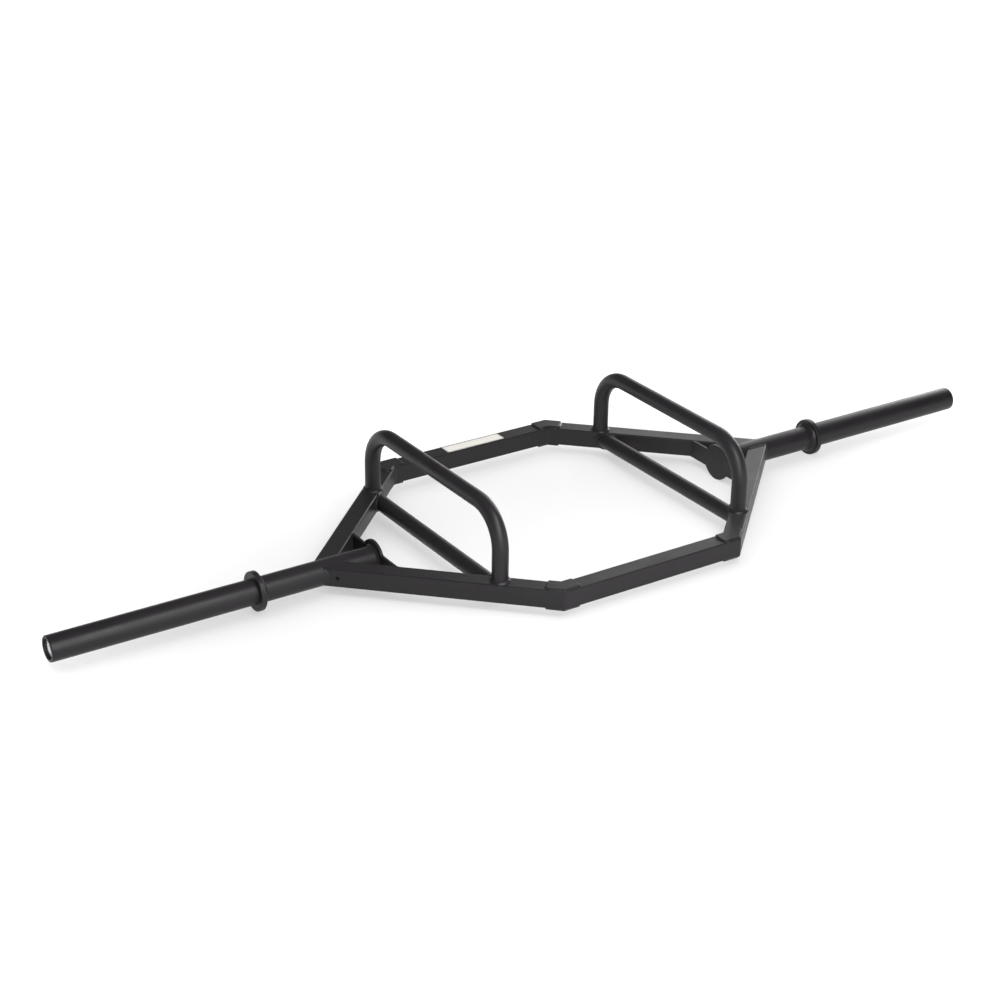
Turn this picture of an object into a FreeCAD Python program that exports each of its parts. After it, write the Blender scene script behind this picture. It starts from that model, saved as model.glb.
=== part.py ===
"""Hex trap bar: a welded hexagon of square tube that a lifter stands in.

A plain round sleeve runs out of each end of the hexagon through a stop collar, two bent handles stand
on the diagonal rails and two straight handles lie between them. Millimetres, +Z up, +X along the
sleeves. The origin is under the middle of the bar, level with the lowest point of the collars.
"""
import FreeCAD
import Part
import Sketcher
import os

Vector = FreeCAD.Vector

# Driving dimensions: name, millimetres, meaning.
SIZES = (
    ("frame_width", 638, "front rail to rear rail, centre to centre"),
    ("long_rail_length", 400, "front or rear rail, corner to corner on the centreline"),
    ("diagonal_run", 330, "corner to where the diagonals' centrelines cross, along the bar"),
    ("rail_size", 38, "outside of the square tube"),
    ("rail_wall", 3, "wall of the square tube"),
    ("rail_edge_radius", 3, "outer rounding along the square tube's edges"),
    ("vent_diameter", 8, "vent hole in the outer wall of each diagonal"),
    ("vent_setback", 34, "vent hole back from where the centrelines cross, along the diagonal"),
    ("gusset_thickness", 4, "corner gusset plate"),
    ("gusset_reach", 30, "gusset arm from the corner to its end, along the rail's centreline"),
    ("gusset_inset", 3, "gusset edge in from the rail's side"),
    ("gusset_corner_radius", 3, "rounding of the gusset's corners"),
    ("hub_setback", 114.5, "hub plate's inner face in from where the centrelines cross"),
    ("hub_thickness", 6, "hub plate that closes the sleeve's inner end"),
    ("hub_diameter", 76, "round middle of the hub plate"),
    ("hub_notch_radius", 5, "rounding between the hub plate's wings and its round middle"),
    ("sleeve_diameter", 50, "outside of the sleeve tube"),
    ("sleeve_wall", 5, "wall of the sleeve tube"),
    ("sleeve_load_length", 404, "sleeve outside the collar, where weight plates slide on"),
    ("sleeve_tip_chamfer", 1.5, "chamfer round the sleeve's outer end"),
    ("collar_setout", 136, "collar's inner face out from where the centrelines cross"),
    ("collar_diameter", 77, "outside of the stop collar"),
    ("collar_thickness", 11, "stop collar along the sleeve"),
    ("collar_edge_radius", 1.5, "rounding of the collar's two rims"),
    ("collar_seat_depth", 0.5, "turned seat that the collar is pressed into"),
    ("plug_recess", 5, "sleeve tip to the face of the end plug"),
    ("plug_thickness", 4, "end plug in the sleeve's bore"),
    ("handle_setout", 83.5, "handles out from the corner, along the bar"),
    ("handle_diameter", 32, "outside of the raised handle's tube"),
    ("handle_wall", 3, "wall of the raised handle's tube"),
    ("handle_rise", 155, "raised grip's axis above the rail's middle"),
    ("handle_bend_radius", 76, "bend of the raised handle, on the tube's axis"),
    ("handle_leg_inset", 4, "leg's axis in from the diagonal's centreline, towards the middle"),
    ("low_handle_diameter", 32, "outside of the low handle's tube"),
    ("low_handle_wall", 3, "wall of the low handle's tube"),
    ("label_length", 140, "blank label on the rear rail, along the rail"),
    ("label_inset", 5, "label's long edges in from the rail's sides"),
    ("label_thickness", 0.4, "blank label"),
    ("label_offset", 11, "blank label's middle to the right of the rail's middle"),
)

# Positions that follow from the driving dimensions.
LAYOUT_LENGTHS = (
    ("axis_height", "Sizes.collar_diameter / 2"),
    ("corner_x", "Sizes.long_rail_length / 2"),
    ("corner_y", "Sizes.frame_width / 2"),
    ("apex_x", "Layout.corner_x + Sizes.diagonal_run"),
    ("diagonal_length", "hypot(Layout.corner_y; Sizes.diagonal_run)"),
    ("rail_half", "Sizes.rail_size / 2"),
    ("rail_bore_half", "Layout.rail_half - Sizes.rail_wall"),
    ("hub_inner_x", "Layout.apex_x - Sizes.hub_setback"),
    ("hub_outer_x", "Layout.hub_inner_x + Sizes.hub_thickness"),
    ("sleeve_radius", "Sizes.sleeve_diameter / 2"),
    ("sleeve_bore_radius", "Layout.sleeve_radius - Sizes.sleeve_wall"),
    ("collar_bore_radius", "Layout.sleeve_radius - Sizes.collar_seat_depth"),
    ("collar_inner_x", "Layout.apex_x + Sizes.collar_setout"),
    ("collar_outer_x", "Layout.collar_inner_x + Sizes.collar_thickness"),
    ("tip_x", "Layout.collar_outer_x + Sizes.sleeve_load_length"),
    ("trim_reach", "2 * Layout.tip_x"),
    ("handle_x", "Layout.corner_x + Sizes.handle_setout"),
)
LAYOUT_ANGLES = (
    ("diagonal_angle", "atan2(Layout.corner_y; Sizes.diagonal_run)"),
)
LAYOUT_ON_DIAGONAL = (
    ("handle_setback", "Sizes.handle_setout * tan(Layout.diagonal_angle)"),
    ("handle_leg_y", "Layout.corner_y - Layout.handle_setback - Sizes.handle_leg_inset"),
    ("inner_face_x", "Layout.corner_x - Layout.rail_half * sin(Layout.diagonal_angle)"),
    ("inner_face_y", "Layout.corner_y - Layout.rail_half * cos(Layout.diagonal_angle)"),
)

# Slack, in millimetres or radians, when edges are picked by where they lie.
PICK_SLACK = 0.001

# Half turns about the bar's middle that carry a right front piece to its other places.
SIDE_TURNS = {"right": "rotationz(0 deg)", "left": "rotationz(180 deg)"}
CORNER_TURNS = {
    "right_front": "rotationz(0 deg)",
    "right_rear": "rotationx(180 deg)",
    "left_front": "rotationy(180 deg)",
    "left_rear": "rotationz(180 deg)",
}
UPSIDE_DOWN_CORNERS = ("right_rear", "left_front")


def make_sheet(doc):
    """Spreadsheet of the driving dimensions, one named cell each."""
    sheet = doc.addObject("Spreadsheet::Sheet", "Sizes")
    for row, (name, value, meaning) in enumerate(SIZES, start=1):
        sheet.set(f"A{row}", meaning)
        sheet.set(f"B{row}", str(value))
        sheet.setAlias(f"B{row}", name)
    doc.recompute()


def make_layout(doc):
    """Variable set of the positions that the pieces share, each bound to the sheet."""
    layout = doc.addObject("App::VarSet", "Layout")
    groups = (
        ("App::PropertyFloat", LAYOUT_LENGTHS),
        ("App::PropertyAngle", LAYOUT_ANGLES),
        ("App::PropertyFloat", LAYOUT_ON_DIAGONAL),
    )
    for kind, entries in groups:
        for name, expression in entries:
            layout.addProperty(kind, name)
            layout.setExpression(name, expression)
            doc.recompute()


def place(body, turn, x="0", y="0", angle="0 deg"):
    """Put a piece at (x, y) and angle in the bar's right front quarter, then turn it to its side."""
    home = f"placement(vector({x}; {y}; 0); rotationz({angle}))"
    body.setExpression("Placement", f"placement(vector(0; 0; Layout.axis_height); {turn}) * {home}")


def new_body(doc, label):
    """Empty body whose label names the piece and its file."""
    body = doc.addObject("PartDesign::Body", label)
    body.Label = label
    return body


def new_sketch(body, plane, name, x="0", y="0", z="0", angle="0 deg"):
    """Sketch on one of the body's own origin planes, shifted and turned within that plane."""
    support = next(item for item in body.Origin.OriginFeatures if item.Role == plane)
    sketch = body.newObject("Sketcher::SketchObject", name)
    sketch.AttachmentSupport = [(support, "")]
    sketch.MapMode = "FlatFace"
    sketch.setExpression("AttachmentOffset", f"placement(vector({x}; {y}; {z}); rotationz({angle}))")
    return sketch


def number(sketch, expression):
    """Present value of an expression, where a sketch's geometry starts out."""
    return float(sketch.evalExpression(expression))


def fix_point(sketch, geometry, point, x, y):
    """Hold one point of a sketch at (x, y) from the sketch's origin, bound to expressions."""
    for direction, expression in (("DistanceX", x), ("DistanceY", y)):
        start = Sketcher.Constraint(direction, -1, 1, geometry, point, number(sketch, expression))
        index = sketch.addConstraint(start)
        sketch.setExpression(f"Constraints[{index}]", expression)


def fix_radius(sketch, geometry, radius):
    """Hold the radius of one circle or arc, bound to an expression."""
    index = sketch.addConstraint(Sketcher.Constraint("Radius", geometry, number(sketch, radius)))
    sketch.setExpression(f"Constraints[{index}]", radius)


def add_outline(sketch, corners):
    """Closed outline of straight lines through corners given as pairs of expressions."""
    first = sketch.GeometryCount
    points = [Vector(number(sketch, x), number(sketch, y), 0) for x, y in corners]
    count = len(points)
    for index in range(count):
        sketch.addGeometry(Part.LineSegment(points[index], points[(index + 1) % count]))
    for index in range(count):
        following = first + (index + 1) % count
        sketch.addConstraint(Sketcher.Constraint("Coincident", first + index, 2, following, 1))
    for index, (x, y) in enumerate(corners):
        fix_point(sketch, first + index, 1, x, y)


def add_rectangle(sketch, left, right, bottom, top):
    """Upright rectangle between four expressions."""
    add_outline(sketch, ((left, bottom), (right, bottom), (right, top), (left, top)))


def add_circle(sketch, radius, x="0", y="0"):
    """Circle about (x, y), bound to expressions."""
    centre = Vector(number(sketch, x), number(sketch, y), 0)
    circle = Part.Circle(centre, Vector(0, 0, 1), number(sketch, radius))
    geometry = sketch.addGeometry(circle)
    fix_point(sketch, geometry, 3, x, y)
    fix_radius(sketch, geometry, radius)


def add_pad(body, sketch, name, length, symmetric=False):
    """Pad a sketch to one side, or half to each side of its plane."""
    pad = body.newObject("PartDesign::Pad", name)
    pad.Profile = sketch
    pad.SideType = "Symmetric" if symmetric else "One side"
    pad.setExpression("Length", length)
    body.Document.recompute()
    return pad


def add_revolution(body, sketch, name):
    """Full turn of a sketch about its own horizontal axis."""
    revolution = body.newObject("PartDesign::Revolution", name)
    revolution.Profile = sketch
    revolution.ReferenceAxis = (sketch, ["H_Axis"])
    revolution.Angle = 360
    body.Document.recompute()
    return revolution


def add_fillet(body, name, radius, wanted):
    """Round the edges of the body so far for which wanted(edge) is true."""
    base = body.Tip
    edges = [f"Edge{i}" for i, edge in enumerate(base.Shape.Edges, start=1) if wanted(edge)]
    fillet = body.newObject("PartDesign::Fillet", name)
    fillet.Base = (base, edges)
    fillet.setExpression("Radius", radius)
    body.Document.recompute()
    return fillet


def trim(body, name, x, y, normal_angle):
    """Cut away all that lies past a vertical plane through (x, y), on the side its normal points to."""
    sketch = new_sketch(body, "XY_Plane", f"{name}_sketch", x, y, "0", normal_angle)
    add_rectangle(sketch, "0", "Layout.trim_reach", "-Layout.trim_reach", "Layout.trim_reach")
    pocket = body.newObject("PartDesign::Pocket", name)
    pocket.Profile = sketch
    pocket.SideType = "Symmetric"
    pocket.Type = "ThroughAll"
    body.Document.recompute()
    return pocket


def trim_to_diagonals(body):
    """Cut a right-hand cross piece back to the inner faces of the front and rear diagonals."""
    trim(body, "front_trim", "Layout.inner_face_x", "-Layout.inner_face_y", "Layout.diagonal_angle - 90 deg")
    trim(body, "rear_trim", "Layout.inner_face_x", "Layout.inner_face_y", "90 deg - Layout.diagonal_angle")


def runs_along(direction):
    """Test for straight edges along a direction."""
    def test(edge):
        is_line = edge.Curve.TypeId == "Part::GeomLine"
        return is_line and edge.Curve.Direction.isParallel(direction, PICK_SLACK)
    return test


def square_tube(body, start, length):
    """Square tube along X from start, with rounded outer edges."""
    half = "Layout.rail_half"
    bore = "Layout.rail_bore_half"
    profile = new_sketch(body, "YZ_Plane", "tube_profile", z=start)
    add_rectangle(profile, f"-{half}", half, f"-{half}", half)
    add_rectangle(profile, f"-{bore}", bore, f"-{bore}", bore)
    tube = add_pad(body, profile, "tube", length)
    along_tube = runs_along(Vector(1, 0, 0))
    outside = tube.Shape.BoundBox.ZMax - PICK_SLACK

    def is_outer_edge(edge):
        middle = edge.CenterOfMass
        return along_tube(edge) and min(abs(middle.y), abs(middle.z)) > outside

    add_fillet(body, "tube_edges", "Sizes.rail_edge_radius", is_outer_edge)


def long_rail(doc, label, side):
    """Front or rear rail: square tube with a mitre at each end."""
    body = new_body(doc, label)
    start = "-Layout.corner_x - Sizes.rail_size"
    square_tube(body, start, "2 * Layout.corner_x + 2 * Sizes.rail_size")
    trim(body, "right_mitre", "Layout.corner_x", "0", "Layout.diagonal_angle / 2")
    trim(body, "left_mitre", "-Layout.corner_x", "0", "180 deg - Layout.diagonal_angle / 2")
    place(body, SIDE_TURNS[side], y="-Layout.corner_y")
    return body


def diagonal_rail(doc, corner):
    """Diagonal rail: mitred to the long rail, coped round the sleeve, with a vent hole near the sleeve."""
    body = new_body(doc, f"{corner}_diagonal")
    square_tube(body, "-Sizes.rail_size", "Layout.diagonal_length + 4 * Sizes.rail_size")
    trim(body, "mitre", "0", "0", "180 deg - Layout.diagonal_angle / 2")
    trim(body, "apex_cut", "Layout.diagonal_length", "0", "90 deg - Layout.diagonal_angle")
    cope = body.newObject("PartDesign::SubtractiveCylinder", "cope")
    cope.setExpression("Radius", "Layout.sleeve_radius")
    cope.setExpression("Height", "2 * Layout.trim_reach")
    along_sleeve = "rotationz(-Layout.diagonal_angle) * rotationy(90 deg)"
    apex = f"placement(vector(Layout.diagonal_length; 0; 0); {along_sleeve})"
    back = "placement(vector(0; 0; -Layout.trim_reach); rotationz(0 deg))"
    cope.setExpression("Placement", f"{apex} * {back}")
    vent = body.newObject("PartDesign::SubtractiveCylinder", "vent")
    vent.setExpression("Radius", "Sizes.vent_diameter / 2")
    vent.setExpression("Height", "Layout.rail_half + Sizes.rail_wall")
    vent_x = "Layout.diagonal_length - Sizes.vent_setback"
    outside = "-Layout.rail_half - Sizes.rail_wall"
    vent.setExpression("Placement", f"placement(vector({vent_x}; {outside}; 0); rotationx(-90 deg))")
    place(body, CORNER_TURNS[corner], "Layout.corner_x", "-Layout.corner_y", "Layout.diagonal_angle")
    return body


def corner_gusset(doc, corner, level):
    """Flat plate across a mitre, on top of the rails or under them."""
    body = new_body(doc, f"{corner}_{level}_gusset")
    up = (level == "top") != (corner in UPSIDE_DOWN_CORNERS)
    height = "Layout.rail_half" if up else "-Layout.rail_half - Sizes.gusset_thickness"
    sketch = new_sketch(body, "XY_Plane", "outline", z=height)
    half = "(Layout.rail_half - Sizes.gusset_inset)"
    along = "Sizes.gusset_reach"
    lean = f"{half} * tan(Layout.diagonal_angle / 2)"
    cosine = "cos(Layout.diagonal_angle)"
    sine = "sin(Layout.diagonal_angle)"
    add_outline(sketch, (
        (f"-{along}", f"-{half}"),
        (lean, f"-{half}"),
        (f"{along} * {cosine} + {half} * {sine}", f"{along} * {sine} - {half} * {cosine}"),
        (f"{along} * {cosine} - {half} * {sine}", f"{along} * {sine} + {half} * {cosine}"),
        (f"-{lean}", half),
        (f"-{along}", half),
    ))
    add_pad(body, sketch, "plate", "Sizes.gusset_thickness")
    add_fillet(body, "corners", "Sizes.gusset_corner_radius", runs_along(Vector(0, 0, 1)))
    place(body, CORNER_TURNS[corner], "Layout.corner_x", "-Layout.corner_y")
    return body


def sleeve(doc, side):
    """Round tube from the hub plate to the tip, with a shallow turned seat for the collar."""
    body = new_body(doc, f"{side}_sleeve")
    sketch = new_sketch(body, "XZ_Plane", "profile")
    add_outline(sketch, (
        ("Layout.hub_outer_x", "Layout.sleeve_bore_radius"),
        ("Layout.tip_x", "Layout.sleeve_bore_radius"),
        ("Layout.tip_x", "Layout.sleeve_radius - Sizes.sleeve_tip_chamfer"),
        ("Layout.tip_x - Sizes.sleeve_tip_chamfer", "Layout.sleeve_radius"),
        ("Layout.collar_outer_x", "Layout.sleeve_radius"),
        ("Layout.collar_outer_x", "Layout.collar_bore_radius"),
        ("Layout.collar_inner_x", "Layout.collar_bore_radius"),
        ("Layout.collar_inner_x", "Layout.sleeve_radius"),
        ("Layout.hub_outer_x", "Layout.sleeve_radius"),
    ))
    add_revolution(body, sketch, "tube")
    place(body, SIDE_TURNS[side])
    return body


def collar(doc, side):
    """Stop ring on the sleeve, with rounded rims."""
    body = new_body(doc, f"{side}_collar")
    sketch = new_sketch(body, "XZ_Plane", "profile")
    add_rectangle(
        sketch,
        "Layout.collar_inner_x", "Layout.collar_outer_x",
        "Layout.collar_bore_radius", "Sizes.collar_diameter / 2",
    )
    ring = add_revolution(body, sketch, "ring")
    rim = ring.Shape.BoundBox.ZMax

    def is_rim(edge):
        return edge.Curve.TypeId == "Part::GeomCircle" and edge.Curve.Radius > rim - PICK_SLACK

    add_fillet(body, "rims", "Sizes.collar_edge_radius", is_rim)
    place(body, SIDE_TURNS[side])
    return body


def sleeve_plug(doc, side):
    """Disc that closes the sleeve's bore a little way in from the tip."""
    body = new_body(doc, f"{side}_sleeve_plug")
    inner = "Layout.tip_x - Sizes.plug_recess - Sizes.plug_thickness"
    sketch = new_sketch(body, "YZ_Plane", "disc", z=inner)
    add_circle(sketch, "Layout.sleeve_bore_radius")
    add_pad(body, sketch, "plug", "Sizes.plug_thickness")
    place(body, SIDE_TURNS[side])
    return body


def hub_plate(doc, side):
    """Plate across the sleeve's inner end: a round middle with a rail-high wing to each diagonal."""
    body = new_body(doc, f"{side}_hub_plate")
    disc = new_sketch(body, "YZ_Plane", "disc", z="Layout.hub_inner_x")
    add_circle(disc, "Sizes.hub_diameter / 2")
    middle = add_pad(body, disc, "middle", "Sizes.hub_thickness")
    radius = middle.Shape.BoundBox.ZMax
    wings = new_sketch(body, "YZ_Plane", "wings", z="Layout.hub_inner_x")
    half = "Layout.rail_half"
    add_rectangle(wings, "-Layout.corner_y", "Layout.corner_y", f"-{half}", half)
    add_pad(body, wings, "wing_plate", "Sizes.hub_thickness")
    trim_to_diagonals(body)
    along_sleeve = runs_along(Vector(1, 0, 0))

    def is_notch(edge):
        point = edge.CenterOfMass
        return along_sleeve(edge) and abs((point.y ** 2 + point.z ** 2) ** 0.5 - radius) < PICK_SLACK

    add_fillet(body, "notches", "Sizes.hub_notch_radius", is_notch)
    place(body, SIDE_TURNS[side])
    return body


def add_grip_path(sketch):
    """Path of the raised handle: up a leg, over a bend, along the grip, and down the same way."""
    leg = number(sketch, "Layout.handle_leg_y")
    foot = number(sketch, "Layout.rail_half")
    top = number(sketch, "Sizes.handle_rise")
    bend = number(sketch, "Sizes.handle_bend_radius")
    half_grip = leg - bend
    shoulder = top - bend
    quarter = FreeCAD.Units.Quantity("90 deg").getValueAs("rad").Value
    left_circle = Part.Circle(Vector(-half_grip, shoulder, 0), Vector(0, 0, 1), bend)
    right_circle = Part.Circle(Vector(half_grip, shoulder, 0), Vector(0, 0, 1), bend)
    left_leg = sketch.addGeometry(Part.LineSegment(Vector(-leg, foot, 0), Vector(-leg, shoulder, 0)))
    left_bend = sketch.addGeometry(Part.ArcOfCircle(left_circle, quarter, 2 * quarter))
    grip = sketch.addGeometry(Part.LineSegment(Vector(-half_grip, top, 0), Vector(half_grip, top, 0)))
    right_bend = sketch.addGeometry(Part.ArcOfCircle(right_circle, 0, quarter))
    right_leg = sketch.addGeometry(Part.LineSegment(Vector(leg, shoulder, 0), Vector(leg, foot, 0)))
    sketch.addConstraint(Sketcher.Constraint("Tangent", left_leg, 2, left_bend, 2))
    sketch.addConstraint(Sketcher.Constraint("Tangent", left_bend, 1, grip, 1))
    sketch.addConstraint(Sketcher.Constraint("Tangent", grip, 2, right_bend, 2))
    sketch.addConstraint(Sketcher.Constraint("Tangent", right_bend, 1, right_leg, 1))
    sketch.addConstraint(Sketcher.Constraint("Vertical", left_leg))
    sketch.addConstraint(Sketcher.Constraint("Vertical", right_leg))
    fix_point(sketch, left_leg, 1, "-Layout.handle_leg_y", "Layout.rail_half")
    fix_point(sketch, right_leg, 2, "Layout.handle_leg_y", "Layout.rail_half")
    fix_radius(sketch, left_bend, "Sizes.handle_bend_radius")
    fix_radius(sketch, right_bend, "Sizes.handle_bend_radius")
    level = sketch.addConstraint(Sketcher.Constraint("DistanceY", -1, 1, grip, 1, top))
    sketch.setExpression(f"Constraints[{level}]", "Sizes.handle_rise")


def raised_handle(doc, side):
    """Round tube bent to an arch that stands on the two diagonals."""
    body = new_body(doc, f"{side}_raised_handle")
    path = new_sketch(body, "YZ_Plane", "path", z="Layout.handle_x")
    add_grip_path(path)
    x = "Layout.handle_x"
    y = "-Layout.handle_leg_y"
    ring = new_sketch(body, "XY_Plane", "ring", x, y, "Layout.rail_half")
    add_circle(ring, "Sizes.handle_diameter / 2")
    add_circle(ring, "Sizes.handle_diameter / 2 - Sizes.handle_wall")
    doc.recompute()
    tube = body.newObject("PartDesign::AdditivePipe", "tube")
    tube.Profile = ring
    tube.Spine = (path, [f"Edge{i}" for i in range(1, len(path.Shape.Edges) + 1)])
    doc.recompute()
    place(body, SIDE_TURNS[side])
    return body


def low_handle(doc, side):
    """Straight round tube between the two diagonals, level with them."""
    body = new_body(doc, f"{side}_low_handle")
    ring = new_sketch(body, "XZ_Plane", "ring")
    add_circle(ring, "Sizes.low_handle_diameter / 2", "Layout.handle_x")
    add_circle(ring, "Sizes.low_handle_diameter / 2 - Sizes.low_handle_wall", "Layout.handle_x")
    add_pad(body, ring, "tube", "Sizes.frame_width", symmetric=True)
    trim_to_diagonals(body)
    place(body, SIDE_TURNS[side])
    return body


def blank_label(doc):
    """Thin bare plate on top of the rear rail."""
    body = new_body(doc, "blank_label")
    x = "Sizes.label_offset"
    y = "Layout.corner_y"
    sketch = new_sketch(body, "XY_Plane", "outline", x, y, "Layout.rail_half")
    half_length = "Sizes.label_length / 2"
    half_width = "(Layout.rail_half - Sizes.label_inset)"
    add_rectangle(sketch, f"-{half_length}", half_length, f"-{half_width}", half_width)
    add_pad(body, sketch, "plate", "Sizes.label_thickness")
    place(body, SIDE_TURNS["right"])
    return body


def build(doc):
    """All pieces of the bar, each a body with its own label and placement."""
    make_sheet(doc)
    make_layout(doc)
    pieces = [
        long_rail(doc, "front_rail", "right"),
        long_rail(doc, "rear_rail", "left"),
        blank_label(doc),
    ]
    for corner in CORNER_TURNS:
        pieces.append(diagonal_rail(doc, corner))
        pieces.append(corner_gusset(doc, corner, "top"))
        pieces.append(corner_gusset(doc, corner, "bottom"))
    for side in SIDE_TURNS:
        pieces.append(sleeve(doc, side))
        pieces.append(collar(doc, side))
        pieces.append(sleeve_plug(doc, side))
        pieces.append(hub_plate(doc, side))
        pieces.append(raised_handle(doc, side))
        pieces.append(low_handle(doc, side))
    doc.recompute()
    return pieces


def check(doc, pieces):
    """Stop if any object failed or any piece isn't one sound solid."""
    for item in doc.Objects:
        if "Invalid" in item.State or "Error" in item.State:
            raise RuntimeError(f"{item.Label} failed: {item.State}")
    for piece in pieces:
        shape = piece.Shape
        if shape.isNull() or not shape.isValid() or len(shape.Solids) != 1:
            raise RuntimeError(f"{piece.Label} isn't one valid solid")


def write(pieces):
    """One STEP file for each piece, named after its label."""
    os.makedirs("parts", exist_ok=True)
    for piece in pieces:
        piece.Shape.exportStep(os.path.join("parts", f"{piece.Label}.step"))
        print(f"{piece.Label}: {piece.Shape.Volume / 1000:.1f} cm3")


def main():
    doc = FreeCAD.newDocument("hex_trap_bar")
    pieces = build(doc)
    check(doc, pieces)
    write(pieces)


main()
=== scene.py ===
"""Looks of a hex trap bar: a welded frame of square tube in black powder coat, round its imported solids.

Lengths are in metres in the frame's own axes: X runs along the sleeves, Y from front to rear and Z up.
"""

import logging
import math
from collections.abc import Iterable, Iterator, Mapping, Sequence
from dataclasses import dataclass
from enum import Enum

import bmesh
import bpy
from mathutils import Matrix, Vector


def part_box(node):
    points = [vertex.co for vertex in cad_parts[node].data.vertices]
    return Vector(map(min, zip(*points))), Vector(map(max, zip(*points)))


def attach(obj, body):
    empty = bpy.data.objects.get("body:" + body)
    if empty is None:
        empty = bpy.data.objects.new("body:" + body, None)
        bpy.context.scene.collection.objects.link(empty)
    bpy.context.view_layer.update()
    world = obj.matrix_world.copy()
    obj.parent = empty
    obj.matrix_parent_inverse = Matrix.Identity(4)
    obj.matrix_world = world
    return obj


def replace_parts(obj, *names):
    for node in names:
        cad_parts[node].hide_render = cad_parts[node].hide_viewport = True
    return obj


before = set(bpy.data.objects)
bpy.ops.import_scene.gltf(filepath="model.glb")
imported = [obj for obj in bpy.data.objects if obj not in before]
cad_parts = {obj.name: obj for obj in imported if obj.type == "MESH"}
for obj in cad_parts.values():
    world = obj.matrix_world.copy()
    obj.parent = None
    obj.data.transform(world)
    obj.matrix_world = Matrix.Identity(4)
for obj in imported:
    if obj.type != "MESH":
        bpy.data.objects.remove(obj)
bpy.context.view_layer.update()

LOG = logging.getLogger("trap_bar")
BODY = "root"
MM = 0.001
UP = Vector((0.0, 0.0, 1.0))
# Points nearer than this are one point.
MERGE_GAP = 0.001 * MM
# Edges that turn less than the first are flat, and those that turn more than the second are rims.
FLAT_TURN = math.radians(0.5)
RIM_TURN = math.radians(50.0)
# A face whose unit normal rises less than the first stands upright, and more than the second lies level.
UPRIGHT_RISE = 0.1
LEVEL_RISE = 0.9
# Faces across a rounded rim and across a rounded corner, and the fewest steps along a straight seam.
RIM_STEPS = 3
CORNER_STEPS = 6
LEAST_STEPS = 4
# At scale 1 the wave texture turns by this many radians in a metre.
WAVE_TURN = 20.0


class Side(Enum):
    """The two mirrored halves of the bar, as the sign of X."""

    RIGHT = 1
    LEFT = -1


class End(Enum):
    """The two long rails' sides of the bar, as the sign of Y."""

    FRONT = -1
    REAR = 1


class Level(Enum):
    """The upper and lower faces of the rails, as the sign of Z."""

    TOP = 1
    BOTTOM = -1


class Slot(Enum):
    """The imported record's material slots."""

    COAT = "powder_coat"
    LABEL = "label"
    PLUG = "end_plug"


def linear(colour: str) -> tuple[float, float, float, float]:
    """Turns an sRGB colour into the linear one that Blender's sockets take.

    Args:
        colour: The colour as #RRGGBB.

    Returns:
        Red, green and blue in linear light, and an alpha of 1.
    """
    channels = [int(colour[i:i + 2], 16) / 255 for i in (1, 3, 5)]
    light = [c / 12.92 if c <= 0.04045 else ((c + 0.055) / 1.055) ** 2.4 for c in channels]
    return light[0], light[1], light[2], 1.0


def add_node(
    tree: bpy.types.NodeTree,
    kind: str,
    settings: Mapping[str, object] | None = None,
    values: Mapping[str, object] | None = None,
    links: Mapping[str, bpy.types.NodeSocket] | None = None,
) -> bpy.types.Node:
    """Adds one node with its settings and links.

    Args:
        tree: The node tree that takes the node.
        kind: The node's type name.
        settings: Attributes of the node itself.
        values: Constants for its input sockets, by name.
        links: Output sockets of other nodes to link to its inputs, by name.

    Returns:
        The new node.
    """
    node = tree.nodes.new(kind)
    for name, value in (settings or {}).items():
        setattr(node, name, value)
    for name, value in (values or {}).items():
        node.inputs[name].default_value = value
    for name, socket in (links or {}).items():
        tree.links.new(socket, node.inputs[name])
    return node


def new_material(name: str) -> tuple[bpy.types.Material, bpy.types.NodeTree, bpy.types.Node]:
    """Starts a material with an empty node tree.

    Args:
        name: The material's name.

    Returns:
        The material, its tree and its output node.
    """
    material = bpy.data.materials.new(name)
    material.use_nodes = True
    material.node_tree.nodes.clear()
    output = add_node(material.node_tree, "ShaderNodeOutputMaterial")
    return material, material.node_tree, output


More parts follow.
